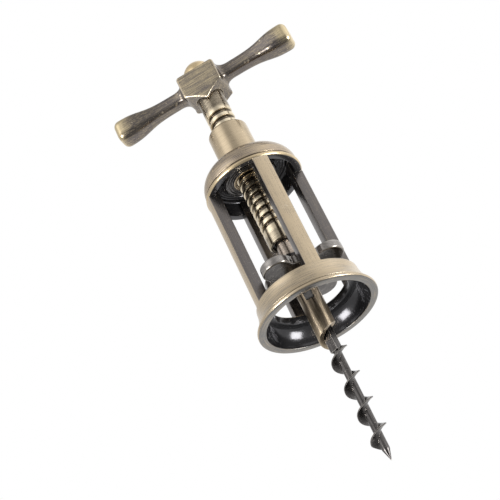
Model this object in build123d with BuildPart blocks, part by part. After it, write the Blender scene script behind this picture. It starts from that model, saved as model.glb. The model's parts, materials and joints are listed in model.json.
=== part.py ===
from build123d import *

import os
from math import ceil, cos, radians, sin, sqrt

# A wine opener that lifts the cork with a screw: a bell that seats on the bottle, four posts and an
# upper ring make a cage, a T-handled screw turns in the ring's collar, and a guide star carries the
# worm between the posts. The origin is the middle of the bell's mouth, and +Z runs up to the handle.

# Clearances between faces
fit_gap = 0.03  # pieces fixed in one another
run_gap = 0.05  # pieces that turn in one another
thread_gap = 0.2  # lifting screw to the collar's ridge

# Bell, from the throat outwards
throat_radius = 14.5
ledge_width = 3.1  # of the seat that the bottle's lip meets
bowl_flare = 2.4  # how much wider the bowl is at the mouth than at the seat
rim_width = 3.0
waist_wall = 2.2  # at the foot of the flared band
band_wall = 2.1  # at the top of the flared band
bell_height = 10.2
seat_height = 7.0
rim_height = 1.7
rim_round = 0.7
rim_groove_depth = 0.5
rim_groove_height = 0.35
flare_depth = 0.45  # hollow of the band below a straight cone
bowl_bulge = 0.7

# Posts
post_length = 49.1
post_width = 5.9
post_depth = 4.4
post_edge = 0.45
post_turns = {"post_right": 0, "post_back": 90, "post_left": 180, "post_front": 270}
spigot_radius = 1.4
spigot_share = 0.6  # of the bell's plate
tongue_share = 0.85  # of the post's width

# Upper ring
ring_height = 9.7
bead_lip = 0.1  # how far the bead stands out from the posts
bead_height = 1.8
bead_bulge = 0.55
ring_groove_depth = 0.35
ring_groove_height = 0.4
shoulder_step = 0.55  # from the bead in to the shoulder
crown_width = 3.4
crown_bulge = 1.0
skirt_wall = 2.73
roof_thickness = 3.0
roof_round = 1.2

# Swivel between the screw and the carriage
neck_radius = 2.95
neck_length = 6.2
shank_step = 0.75  # from the neck in to the shank
bush_wall = 1.25
bush_height = 1.7
bush_recess = 1.0
washer_height = 0.6
head_lip = 0.8
head_height = 1.85
head_play = 0.3
chamber_gap = 0.15  # from the head to the chamber's wall

# Lifting screw
spindle_wall = 1.1  # round the bush
thread_pitch = 3.35
thread_turns = 17
thread_depth = 1.0
groove_root_width = 1.25
groove_top_width = 1.95
plain_end_length = 5.85
plain_stem_length = 12.95
spindle_bevel = 0.4
tang_side = 6.4
tang_length = 8.45
stud_radius = 2.4
stud_length = 3.6

# Collar and its lock ring
collar_bore_gap = 0.25
spigot_wall = 1.2
collar_shoulder = 1.05  # of the collar over its spigot
collar_height = 18.5
collar_round = 1.3
lock_ring_width = 3.75
lock_ring_height = 2.5
lock_ring_bevel = 0.6
ridge_turns = 2
ridge_root = 0.3  # how far the ridge is set into the bore's wall

# T-handle and dome nut
handle_turn = -27.5  # where the bar stands at rest, in degrees from +X
hub_cheek = 2.8  # beside the stem, towards the arms
hub_wall = 1.7  # before and behind the stem
hub_side_height = 10.0
hub_point_height = 5.2
hub_hollow = 0.45  # sag of the two lower edges
hub_bevel = 0.35
hub_corner_round = 1.2  # of its two upper corners
bar_half_length = 38.7
bar_width = 9.8
bar_drop = 4.9  # of the bar's axis below the hub's top
bar_sink = 0.3  # of the arms into the hub's sides
bar_end_length = 4.0
bar_end_round = 2.4
bar_shares = [
    # share of the way to the end block, share of the bar's width, share of that width in each corner
    (0.00, 0.83, 0.25),
    (0.07, 0.66, 0.27),
    (0.18, 0.59, 0.29),
    (0.40, 0.60, 0.30),
    (0.60, 0.69, 0.31),
    (0.78, 0.87, 0.32),
    (0.90, 0.965, 0.33),
    (1.00, 1.00, 0.34),
]
dome_radius = 6.2

# Carriage
star_base = 16.0  # rest height of the guide star
star_thickness = 3.4
star_hub_inset = 1.6  # from the posts in to the star's hub
lobe_radius = 5.8
lobe_reach = 0.97  # of the lobes' middles beyond the star's hub
lobe_count = 4
star_web_round = 1.5
star_edge = 0.5
nut_height = 6.6
nut_wall = 1.6
nut_bevel = 0.4
sleeve_wall = 2.0
sleeve_length = 28.4  # to the lowest edge of its spiral end
sleeve_web_height = 4.5
shank_reach = 8.5  # of the swivel shaft into the sleeve
key_width = 3.2
key_height = 5.0
key_drop = 5.5  # of its upper edge below the sleeve's top
key_turn = -111.0
key_recess = 0.4
key_seat_gap = 0.15  # from the key's inner face to the shaft

# Worm
worm_length = 47.9
worm_shank_side = 3.25
worm_shank_turn = 37.6
worm_shank_show = 3.1
worm_core_radius = 1.45
flight_radius = 4.05
flight_pitch = 10.8
flight_lift = 0.3  # of the flight's upper end above the sleeve's lowest edge
flight_root_width = 1.5
flight_edge_width = 0.5
flight_root_share = 0.7  # of the core's radius
flight_stop_share = 0.03  # of a turn, between the flight's upper end and the sleeve's step
ramp_share = 0.75  # of a turn, taken by the sleeve's spiral end
ramp_drop_share = 0.88  # of the flight's pitch, cleared below the spiral end
ramp_overrun = 0.5
taper_length = 8.0  # from the point to the full flight
point_length = 4.8  # from the point to the full core
point_radius = 0.12

# Levels along the axis
plate_thickness = bell_height - seat_height
ring_base = bell_height + post_length
ring_top = ring_base + ring_height
roof_base = ring_top - roof_thickness
collar_top = ring_top + collar_height
collar_base = roof_base - lock_ring_height
star_top = star_base + star_thickness
nut_top = star_top + nut_height
spindle_base = nut_top + neck_length
bush_base = spindle_base + bush_recess
bush_top = bush_base + bush_height
washer_top = bush_top + washer_height
head_base = washer_top + run_gap
head_top = head_base + head_height
thread_base = spindle_base + plain_end_length
stem_top = thread_base + thread_pitch * thread_turns + plain_stem_length
hub_top = stem_top + tang_length
side_base = hub_top - hub_side_height
hub_base = side_base - hub_point_height
bar_level = hub_top - bar_drop
stud_top = hub_top + stud_length
sleeve_base = star_base - sleeve_length
shank_base = star_base - shank_reach
socket_top = shank_base - fit_gap - sleeve_web_height
ramp_top = sleeve_base + flight_pitch * ramp_share
worm_tip = sleeve_base - worm_length
worm_shank_base = sleeve_base - worm_shank_show
flight_top = sleeve_base + flight_lift
key_level = star_base - key_drop - key_height / 2

# Sizes that follow from the ones above
bowl_top_radius = throat_radius + ledge_width
mouth_bore_radius = bowl_top_radius + bowl_flare
mouth_radius = mouth_bore_radius + rim_width
waist_radius = mouth_bore_radius + waist_wall
bell_top_radius = bowl_top_radius + band_wall
post_inner = throat_radius + fit_gap
post_middle = post_inner + post_depth / 2
post_outer = post_inner + post_depth
bead_radius = post_outer + bead_lip
shoulder_radius = bead_radius - shoulder_step
crown_radius = shoulder_radius - crown_width
skirt_radius = post_outer - skirt_wall
shank_radius = neck_radius - shank_step
head_radius = neck_radius + head_lip
chamber_radius = head_radius + chamber_gap
bush_radius = neck_radius + bush_wall
spindle_radius = bush_radius + spindle_wall
spigot_length = plate_thickness * spigot_share
tongue_width = post_width * tongue_share
tongue_outer = sqrt(skirt_radius**2 - (tongue_width / 2) ** 2) - fit_gap
thread_root_radius = spindle_radius - thread_depth
flank_slope = (groove_top_width - groove_root_width) / 2 / thread_depth
collar_bore_radius = spindle_radius + collar_bore_gap
collar_spigot_radius = collar_bore_radius + spigot_wall
collar_radius = collar_spigot_radius + collar_shoulder
lock_ring_radius = collar_spigot_radius + lock_ring_width
hub_half_width = spindle_radius + hub_cheek
hub_depth = 2 * (spindle_radius + hub_wall)
bar_root = hub_half_width - bar_sink
bar_direction = (cos(radians(handle_turn)), sin(radians(handle_turn)), 0)
star_hub_radius = post_inner - star_hub_inset
lobe_offset = star_hub_radius + lobe_reach
nut_across_flats = 2 * (shank_radius + nut_wall)
sleeve_radius = shank_radius + sleeve_wall
key_direction = (cos(radians(key_turn)), sin(radians(key_turn)), 0)
key_inner = shank_radius + key_seat_gap
key_outer = sleeve_radius - key_recess
worm_socket_radius = worm_shank_side / sqrt(2) + fit_gap


def bar_plane(distance):
    """A plane across the bar, at a distance along it from the axis."""
    along_x, along_y, _ = bar_direction
    origin = (along_x * distance, along_y * distance, bar_level)
    return Plane(origin=origin, x_dir=(0, 0, 1), z_dir=bar_direction)


def helix_plane(path):
    """The plane of a helix's section: x runs out from the axis, y down and z along the helix."""
    return Plane(origin=path @ 0, x_dir=(1, 0, 0), z_dir=path % 0)


def groove_width(radius):
    """Width of the screw's groove at a radius."""
    return groove_root_width + 2 * flank_slope * (radius - thread_root_radius)


def key_plane(distance):
    """A plane that faces outwards along the key, at a distance from the axis."""
    origin = (key_direction[0] * distance, key_direction[1] * distance, key_level)
    return Plane(origin=origin, x_dir=(0, 0, 1), z_dir=key_direction)


os.makedirs("parts", exist_ok=True)

# Bell: rolled rim, groove, flared band, a ledge round the throat and four post holes
with BuildPart() as bell:
    with BuildSketch(Plane.XZ):
        with BuildLine():
            band_foot = rim_height + rim_groove_height
            rim_middle = mouth_radius - rim_round
            groove_radius = waist_radius - rim_groove_depth
            Polyline((mouth_bore_radius, 0), (rim_middle, 0))
            RadiusArc((rim_middle, 0), (mouth_radius, rim_round), -rim_round)
            Line((mouth_radius, rim_round), (mouth_radius, rim_height - rim_round))
            RadiusArc((mouth_radius, rim_height - rim_round), (rim_middle, rim_height), -rim_round)
            Polyline(
                (rim_middle, rim_height),
                (groove_radius, rim_height),
                (groove_radius, band_foot),
                (waist_radius, band_foot),
            )
            band_middle = ((waist_radius + bell_top_radius) / 2, (band_foot + bell_height) / 2)
            ThreePointArc(
                (waist_radius, band_foot),
                (band_middle[0] - flare_depth, band_middle[1] - flare_depth),
                (bell_top_radius, bell_height),
            )
            Polyline(
                (bell_top_radius, bell_height),
                (throat_radius, bell_height),
                (throat_radius, seat_height),
                (bowl_top_radius, seat_height),
            )
            ThreePointArc(
                (bowl_top_radius, seat_height),
                ((bowl_top_radius + mouth_bore_radius) / 2 + bowl_bulge, seat_height / 2),
                (mouth_bore_radius, 0),
            )
        make_face()
    revolve(axis=Axis.Z)
    with Locations(Plane.XY.offset(bell_height)):
        with PolarLocations(post_middle, len(post_turns)):
            Hole(radius=spigot_radius + fit_gap, depth=spigot_length + fit_gap)
bell.part.label = "bell"
export_step(bell.part, "parts/bell.step")

# Posts: square bars with a spigot in the bell and a tongue inside the ring's skirt
for name, turn in post_turns.items():
    foot_plane = Plane.XY.offset(bell_height).rotated((0, 0, turn))
    head_plane = Plane.XY.offset(ring_base).rotated((0, 0, turn))
    with BuildPart() as post:
        with BuildSketch(foot_plane):
            with Locations((post_middle, 0)):
                RectangleRounded(post_depth, post_width, post_edge)
        extrude(amount=post_length)
        with BuildSketch(foot_plane):
            with Locations((post_middle, 0)):
                Circle(spigot_radius)
        extrude(amount=-spigot_length)
        with BuildSketch(head_plane):
            with Locations(((post_inner + tongue_outer) / 2, 0)):
                Rectangle(tongue_outer - post_inner, tongue_width)
        extrude(amount=ring_height - roof_thickness - roof_round)
    post.part.label = name
    export_step(post.part, f"parts/{name}.step")

# Upper ring: a beaded skirt under a domed roof, bored for the collar
with BuildPart() as upper_ring:
    with BuildSketch(Plane.XZ):
        with BuildLine():
            bead_foot = bead_radius - bead_bulge
            bead_top = ring_base + bead_height
            shoulder_base = bead_top + ring_groove_height
            groove_radius = shoulder_radius - ring_groove_depth
            bore_radius = collar_spigot_radius + fit_gap
            Line((skirt_radius, ring_base), (bead_foot, ring_base))
            bead_middle = (bead_radius, ring_base + bead_height / 2)
            ThreePointArc((bead_foot, ring_base), bead_middle, (bead_foot, bead_top))
            Polyline(
                (bead_foot, bead_top),
                (groove_radius, bead_top),
                (groove_radius, shoulder_base),
                (shoulder_radius, shoulder_base),
            )
            crown_middle = ((shoulder_radius + crown_radius) / 2, (shoulder_base + ring_top) / 2)
            ThreePointArc(
                (shoulder_radius, shoulder_base),
                (crown_middle[0] + crown_bulge, crown_middle[1] + crown_bulge / 2),
                (crown_radius, ring_top),
            )
            Polyline(
                (crown_radius, ring_top),
                (bore_radius, ring_top),
                (bore_radius, roof_base),
                (skirt_radius - roof_round, roof_base),
            )
            skirt_top = (skirt_radius, roof_base - roof_round)
            RadiusArc((skirt_radius - roof_round, roof_base), skirt_top, roof_round)
            Line(skirt_top, (skirt_radius, ring_base))
        make_face()
    revolve(axis=Axis.Z)
upper_ring.part.label = "upper_ring"
export_step(upper_ring.part, "parts/upper_ring.step")

# Collar: a long nut standing on the roof, with a ridge in its bore that runs in the screw's groove
with BuildPart() as top_collar:
    with BuildSketch(Plane.XZ):
        with BuildLine():
            shoulder = collar_radius - collar_round
            Polyline(
                (shoulder, collar_top),
                (collar_bore_radius, collar_top),
                (collar_bore_radius, collar_base),
                (collar_spigot_radius, collar_base),
                (collar_spigot_radius, ring_top),
                (collar_radius, ring_top),
                (collar_radius, collar_top - collar_round),
            )
            RadiusArc((collar_radius, collar_top - collar_round), (shoulder, collar_top), -collar_round)
        make_face()
    revolve(axis=Axis.Z)
    ridge_height = thread_pitch * ridge_turns
    turns_below = (collar_top - thread_base) // thread_pitch - ridge_turns
    ridge_base = thread_base + thread_pitch * turns_below
    with BuildLine() as ridge_path:
        Helix(thread_pitch, ridge_height, collar_bore_radius, (0, 0, ridge_base))
    ridge_tip = thread_root_radius + thread_gap - collar_bore_radius
    tip_width = groove_width(thread_root_radius + thread_gap) - 2 * thread_gap
    root_width = groove_width(collar_bore_radius) - 2 * thread_gap
    with BuildSketch(helix_plane(ridge_path.line)):
        Polygon(
            (ridge_tip, -tip_width / 2),
            (ridge_root, -root_width / 2),
            (ridge_root, root_width / 2),
            (ridge_tip, tip_width / 2),
            align=None,
        )
    sweep(path=ridge_path.line, is_frenet=True)
top_collar.part.label = "top_collar"
export_step(top_collar.part, "parts/top_collar.step")

# Lock ring: holds the collar from under the roof
with BuildPart() as collar_lock_ring:
    with BuildSketch(Plane.XY.offset(collar_base)):
        Circle(lock_ring_radius)
        Circle(collar_spigot_radius + fit_gap, mode=Mode.SUBTRACT)
    extrude(amount=lock_ring_height)
    outer_edges = collar_lock_ring.edges().group_by(Axis.Z)[0].sort_by(SortBy.RADIUS)
    chamfer(outer_edges[-1], lock_ring_bevel)
collar_lock_ring.part.label = "collar_lock_ring"
export_step(collar_lock_ring.part, "parts/collar_lock_ring.step")

# Lifting screw: a bored plain end, a trapezoidal thread, a stem, a square tang and a stud
with BuildPart() as spindle:
    with BuildSketch(Plane.XZ):
        with BuildLine():
            Polyline(
                (bush_radius, spindle_base),
                (spindle_radius - spindle_bevel, spindle_base),
                (spindle_radius, spindle_base + spindle_bevel),
                (spindle_radius, stem_top),
                (0, stem_top),
                (0, head_top + head_play),
                (chamber_radius, head_top + head_play),
                (chamber_radius, bush_top),
                (bush_radius, bush_top),
                close=True,
            )
        make_face()
    revolve(axis=Axis.Z)
    with BuildSketch(Plane.XY.offset(stem_top).rotated((0, 0, handle_turn))):
        Rectangle(tang_side, tang_side)
    extrude(amount=tang_length - fit_gap)
    with BuildSketch(Plane.XY.offset(hub_top - fit_gap)):
        Circle(stud_radius)
    extrude(amount=stud_length + fit_gap)
    with BuildLine() as groove_path:
        Helix(thread_pitch, thread_pitch * thread_turns, spindle_radius, (0, 0, thread_base))
    groove_mouth = thread_depth * (1 - groove_root_width / groove_top_width)
    mouth_width = groove_width(spindle_radius + groove_mouth)
    with BuildSketch(helix_plane(groove_path.line)):
        Polygon(
            (-thread_depth, -groove_root_width / 2),
            (groove_mouth, -mouth_width / 2),
            (groove_mouth, mouth_width / 2),
            (-thread_depth, groove_root_width / 2),
            align=None,
        )
    sweep(path=groove_path.line, is_frenet=True, mode=Mode.SUBTRACT)
spindle.part.label = "spindle"
export_step(spindle.part, "parts/spindle.step")

# T-handle: a five-sided hub with two flaring square arms, bored for the stem and its tang
with BuildPart() as t_handle:
    bar_x, bar_y, _ = bar_direction
    hub_plane = Plane(origin=(0, 0, 0), x_dir=bar_direction, z_dir=(bar_y, -bar_x, 0))
    with BuildSketch(hub_plane) as hub_outline:
        with BuildLine():
            edge_middle = (hub_half_width / 2, (side_base + hub_base) / 2 + hub_hollow)
            Polyline(
                (hub_half_width, side_base),
                (hub_half_width, hub_top),
                (-hub_half_width, hub_top),
                (-hub_half_width, side_base),
            )
            ThreePointArc((-hub_half_width, side_base), (-edge_middle[0], edge_middle[1]), (0, hub_base))
            ThreePointArc((0, hub_base), edge_middle, (hub_half_width, side_base))
        make_face()
        fillet(hub_outline.vertices().sort_by(Axis.Y)[-2:], hub_corner_round)
    extrude(amount=hub_depth / 2, both=True)
    hub_faces = t_handle.faces().sort_by(Axis((0, 0, 0), (bar_y, -bar_x, 0)))
    chamfer(hub_faces[0].edges() + hub_faces[-1].edges(), hub_bevel)
    arm_length = bar_half_length - bar_end_length - bar_root
    for side in (1, -1):
        for reach_share, width_share, corner_share in bar_shares:
            section = bar_width * width_share
            with BuildSketch(bar_plane(side * (bar_root + arm_length * reach_share))):
                RectangleRounded(section, section, section * corner_share)
        loft()
        end_corner = bar_width * bar_shares[-1][2]
        with BuildSketch(bar_plane(side * (bar_half_length - bar_end_length))):
            RectangleRounded(bar_width, bar_width, end_corner)
        extrude(amount=side * bar_end_length)
        end_face = t_handle.faces().sort_by(Axis((0, 0, 0), bar_direction))[-1 if side > 0 else 0]
        fillet(end_face.edges(), bar_end_round)
    with BuildSketch(Plane.XY.offset(stem_top)):
        Circle(spindle_radius + fit_gap)
    extrude(amount=hub_base - stem_top, mode=Mode.SUBTRACT)
    with BuildSketch(Plane.XY.offset(stem_top).rotated((0, 0, handle_turn))):
        Rectangle(tang_side + 2 * fit_gap, tang_side + 2 * fit_gap)
    extrude(amount=tang_length, mode=Mode.SUBTRACT)
t_handle.part.label = "t_handle"
export_step(t_handle.part, "parts/t_handle.step")

# Dome nut: a blind cap on the stud
with BuildPart() as dome_nut:
    with BuildSketch(Plane.XZ):
        with BuildLine():
            CenterArc((0, hub_top), dome_radius, start_angle=0, arc_size=90)
            Polyline(
                (0, hub_top + dome_radius),
                (0, stud_top + fit_gap),
                (stud_radius + fit_gap, stud_top + fit_gap),
                (stud_radius + fit_gap, hub_top),
                (dome_radius, hub_top),
            )
        make_face()
    revolve(axis=Axis.Z)
dome_nut.part.label = "dome_nut"
export_step(dome_nut.part, "parts/dome_nut.step")

# Swivel bush: closes the screw's bore under the shaft's head
with BuildPart() as swivel_bush:
    with BuildSketch(Plane.XY.offset(bush_base)):
        Circle(bush_radius - fit_gap)
        Circle(neck_radius + run_gap, mode=Mode.SUBTRACT)
    extrude(amount=bush_height)
swivel_bush.part.label = "swivel_bush"
export_step(swivel_bush.part, "parts/swivel_bush.step")

# Thrust washer: takes the pull of the cork between the bush and the head
with BuildPart() as thrust_washer:
    with BuildSketch(Plane.XY.offset(bush_top)):
        Circle(chamber_radius - run_gap)
        Circle(neck_radius + run_gap, mode=Mode.SUBTRACT)
    extrude(amount=washer_height)
thrust_washer.part.label = "thrust_washer"
export_step(thrust_washer.part, "parts/thrust_washer.step")

# Swivel shaft: a head inside the screw, a neck, and a shank down into the sleeve
with BuildPart() as swivel_shaft:
    with BuildSketch(Plane.XZ):
        with BuildLine():
            Polyline(
                (0, shank_base),
                (shank_radius, shank_base),
                (shank_radius, nut_top),
                (neck_radius, nut_top),
                (neck_radius, head_base),
                (head_radius, head_base),
                (head_radius, head_top),
                (0, head_top),
                close=True,
            )
        make_face()
    revolve(axis=Axis.Z)
swivel_shaft.part.label = "swivel_shaft"
export_step(swivel_shaft.part, "parts/swivel_shaft.step")

# Guide star: four round lobes that run between the posts and keep the worm from turning
with BuildPart() as guide_star:
    with BuildSketch(Plane.XY.offset(star_base)) as star_outline:
        Circle(star_hub_radius)
        with PolarLocations(lobe_offset, lobe_count, start_angle=180 / lobe_count):
            Circle(lobe_radius)
        fillet(star_outline.vertices(), star_web_round)
    extrude(amount=star_thickness)
    fillet(guide_star.edges().group_by(Axis.Z)[0], star_edge)
    fillet(guide_star.edges().group_by(Axis.Z)[-1], star_edge)
    with BuildSketch(Plane.XY.offset(star_base)):
        Circle(shank_radius + fit_gap)
    extrude(amount=star_thickness, mode=Mode.SUBTRACT)
guide_star.part.label = "guide_star"
export_step(guide_star.part, "parts/guide_star.step")

# Guide nut: clamps the star against the sleeve
with BuildPart() as guide_nut:
    with BuildSketch(Plane.XY.offset(star_top)):
        RegularPolygon(nut_across_flats / 2, side_count=6, major_radius=False)
    extrude(amount=nut_height)
    chamfer(guide_nut.edges().group_by(Axis.Z)[-1], nut_bevel)
    with BuildSketch(Plane.XY.offset(star_top)):
        Circle(shank_radius + fit_gap)
    extrude(amount=nut_height, mode=Mode.SUBTRACT)
guide_nut.part.label = "guide_nut"
export_step(guide_nut.part, "parts/guide_nut.step")

# Worm sleeve: bored from above for the swivel shaft and from below for the worm's shank. Its lower end
# winds up at the worm's own pitch, from a step at the back
with BuildPart() as worm_sleeve:
    with BuildSketch(Plane.XZ):
        with BuildLine():
            socket = worm_socket_radius
            Polyline(
                (socket, sleeve_base),
                (sleeve_radius, sleeve_base),
                (sleeve_radius, star_base),
                (shank_radius + fit_gap, star_base),
                (shank_radius + fit_gap, shank_base - fit_gap),
                (0, shank_base - fit_gap),
                (0, socket_top),
                (socket, socket_top),
                close=True,
            )
        make_face()
    revolve(axis=Axis.Z)
    ramp_middle = (worm_socket_radius + sleeve_radius) / 2
    ramp_reach = (sleeve_radius - worm_socket_radius) / 2 + ramp_overrun
    ramp_drop = flight_pitch * ramp_drop_share
    with BuildLine() as ramp_path:
        Helix(flight_pitch, flight_pitch, ramp_middle, (0, 0, ramp_top - flight_pitch))
    with BuildSketch(Plane(origin=ramp_path.line @ 0, x_dir=(1, 0, 0), z_dir=(0, 1, 0))):
        Polygon(
            (-ramp_reach, 0),
            (ramp_reach, 0),
            (ramp_reach, ramp_drop),
            (-ramp_reach, ramp_drop),
            align=None,
        )
    sweep(path=ramp_path.line, is_frenet=True, mode=Mode.SUBTRACT)
    with BuildSketch(Plane.XY.offset(sleeve_base)):
        with BuildLine():
            step_radius = sleeve_radius + ramp_overrun
            step_arc = CenterArc((0, 0), step_radius, start_angle=0, arc_size=360 * (1 - ramp_share))
            Line((0, 0), step_arc @ 0)
            Line(step_arc @ 1, (0, 0))
        make_face()
    extrude(amount=ramp_top - sleeve_base, mode=Mode.SUBTRACT)
    with BuildSketch(key_plane(key_inner - fit_gap)):
        Rectangle(key_height + 2 * fit_gap, key_width + 2 * fit_gap)
    extrude(amount=sleeve_radius, mode=Mode.SUBTRACT)
worm_sleeve.part.label = "worm_sleeve"
export_step(worm_sleeve.part, "parts/worm_sleeve.step")

# Sleeve key: a small block set into the sleeve's side, over the shaft
with BuildPart() as sleeve_key:
    with BuildSketch(key_plane(key_inner)):
        Rectangle(key_height, key_width)
    extrude(amount=key_outer - key_inner)
sleeve_key.part.label = "sleeve_key"
export_step(sleeve_key.part, "parts/sleeve_key.step")

# Worm: a square shank, a round core and one thin right-hand flight that tapers to a point
with BuildPart() as worm:
    whole_turns = ceil((flight_top - worm_tip) / flight_pitch)
    flight_height = flight_pitch * (whole_turns + 1 - ramp_share - flight_stop_share)
    flight_start = flight_top - flight_height
    flight_middle = (worm_core_radius + flight_radius) / 2
    with BuildSketch(Plane.XY.offset(flight_start)):
        Circle(worm_core_radius)
    extrude(amount=sleeve_base - flight_start)
    with BuildSketch(Plane.XY.offset(worm_shank_base).rotated((0, 0, worm_shank_turn))):
        Rectangle(worm_shank_side, worm_shank_side)
    extrude(amount=socket_top - fit_gap - worm_shank_base)
    with BuildLine() as flight_path:
        Helix(flight_pitch, flight_height, flight_middle, (0, 0, flight_start))
    with BuildSketch(helix_plane(flight_path.line)):
        flight_root = worm_core_radius * flight_root_share - flight_middle
        flight_edge = flight_radius - flight_middle
        Polygon(
            (flight_root, -flight_root_width / 2),
            (flight_edge, -flight_edge_width / 2),
            (flight_edge, flight_edge_width / 2),
            (flight_root, flight_root_width / 2),
            align=None,
        )
    sweep(path=flight_path.line, is_frenet=True)
    with BuildSketch(Plane.XZ):
        with BuildLine():
            envelope_radius = flight_radius + flight_edge_width
            Polyline(
                (0, worm_tip),
                (0, star_base),
                (envelope_radius, star_base),
                (envelope_radius, worm_tip + taper_length),
                (worm_core_radius + point_radius, worm_tip + point_length),
                (point_radius, worm_tip),
                close=True,
            )
        make_face()
    revolve(axis=Axis.Z, mode=Mode.INTERSECT)
worm.part.label = "worm"
export_step(worm.part, "parts/worm.step")
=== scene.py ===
"""Looks of a screw-lift wine opener: turned, cast and threaded pieces, antique finishes and a stage."""

import json
from math import cos, pi, radians, sin, sqrt

import bpy
from mathutils import Matrix, Vector

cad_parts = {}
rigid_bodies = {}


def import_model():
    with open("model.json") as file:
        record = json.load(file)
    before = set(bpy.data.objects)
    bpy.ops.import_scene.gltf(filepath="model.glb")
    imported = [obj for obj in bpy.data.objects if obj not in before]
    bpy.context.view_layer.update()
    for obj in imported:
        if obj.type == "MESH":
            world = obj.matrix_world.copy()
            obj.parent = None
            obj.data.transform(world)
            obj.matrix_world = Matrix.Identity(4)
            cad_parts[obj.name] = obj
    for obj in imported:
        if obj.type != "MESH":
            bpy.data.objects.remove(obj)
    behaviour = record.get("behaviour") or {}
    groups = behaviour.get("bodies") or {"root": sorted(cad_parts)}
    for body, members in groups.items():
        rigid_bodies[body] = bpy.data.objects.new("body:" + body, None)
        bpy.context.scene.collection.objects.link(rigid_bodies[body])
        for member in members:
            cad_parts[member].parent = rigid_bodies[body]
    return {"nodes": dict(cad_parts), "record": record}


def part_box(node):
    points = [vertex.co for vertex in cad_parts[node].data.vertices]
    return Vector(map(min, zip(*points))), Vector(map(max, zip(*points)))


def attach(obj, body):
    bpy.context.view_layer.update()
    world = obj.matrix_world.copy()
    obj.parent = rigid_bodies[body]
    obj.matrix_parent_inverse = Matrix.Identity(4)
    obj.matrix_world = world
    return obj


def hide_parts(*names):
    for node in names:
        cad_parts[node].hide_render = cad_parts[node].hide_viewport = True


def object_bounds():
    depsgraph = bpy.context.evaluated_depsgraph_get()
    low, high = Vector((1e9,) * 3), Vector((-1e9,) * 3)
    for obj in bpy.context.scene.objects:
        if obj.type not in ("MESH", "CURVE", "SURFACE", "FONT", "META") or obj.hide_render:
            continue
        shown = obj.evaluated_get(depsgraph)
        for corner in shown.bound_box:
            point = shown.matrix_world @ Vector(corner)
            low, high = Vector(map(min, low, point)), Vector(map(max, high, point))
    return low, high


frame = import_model()
CAD_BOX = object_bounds()

bl_info = {
    "name": "Screw-lift wine opener",
    "version": (1, 0, 0),
    "blender": (4, 5, 0),
    "location": "View3D > Sidebar > Opener",
    "description": "Models the opener's pieces around its frame, with antique brass and steel finishes",
    "category": "Object",
}

MM = 0.001

# Sizes and places from the frame
BELL_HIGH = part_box("bell")[1]
RING_LOW, RING_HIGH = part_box("upper_ring")
COLLAR_LOW, COLLAR_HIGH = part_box("top_collar")
LOCK_LOW, LOCK_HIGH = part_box("collar_lock_ring")
DOME_LOW, DOME_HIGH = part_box("dome_nut")
POST_LOW, POST_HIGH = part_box("post_right")

# Turn of the handle's bar from the X axis
BAR_TURN = radians(-27.5)

# Ridges under the upper ring's roof, and grooves in the lock ring
RIDGES = 4
LOCK_GROOVES = 3

# Fineness of meshes
SPIN_STEPS = 160
DOME_SPIN_STEPS = 96
ARC_STEPS = 8
DOME_ARC_STEPS = 16
CORNER_STEPS = 4
COLLAR_CORNER_STEPS = 6
BEVEL_SEGMENTS = 3
THREAD_BEVEL_SEGMENTS = 4
MERGE_DISTANCE = 0.002 * MM
AXIS_GAP = 0.001 * MM
SHARP_ANGLE = radians(32)

# Smoothing of castings: strength of one round, and rounds
SMOOTHING = 0.5
HANDLE_ROUNDS = 8
ARM_ROOT_ROUNDS = 160
STAR_ROUNDS = 5


# Settings that a user would change


def length(name, description, millimetres):
    """A length, with its default in millimetres."""
    return bpy.props.FloatProperty(
        name=name, description=description, default=millimetres * MM, unit="LENGTH")


def angle(name, description, degrees):
    """An angle, with its default in degrees."""
    return bpy.props.FloatProperty(
        name=name, description=description, default=radians(degrees), subtype="ANGLE")


def colour(name, description, *default):
    """A colour in linear light."""
    return bpy.props.FloatVectorProperty(
        name=name, description=description, default=default, min=0, max=1, size=3, subtype="COLOR")


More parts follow.
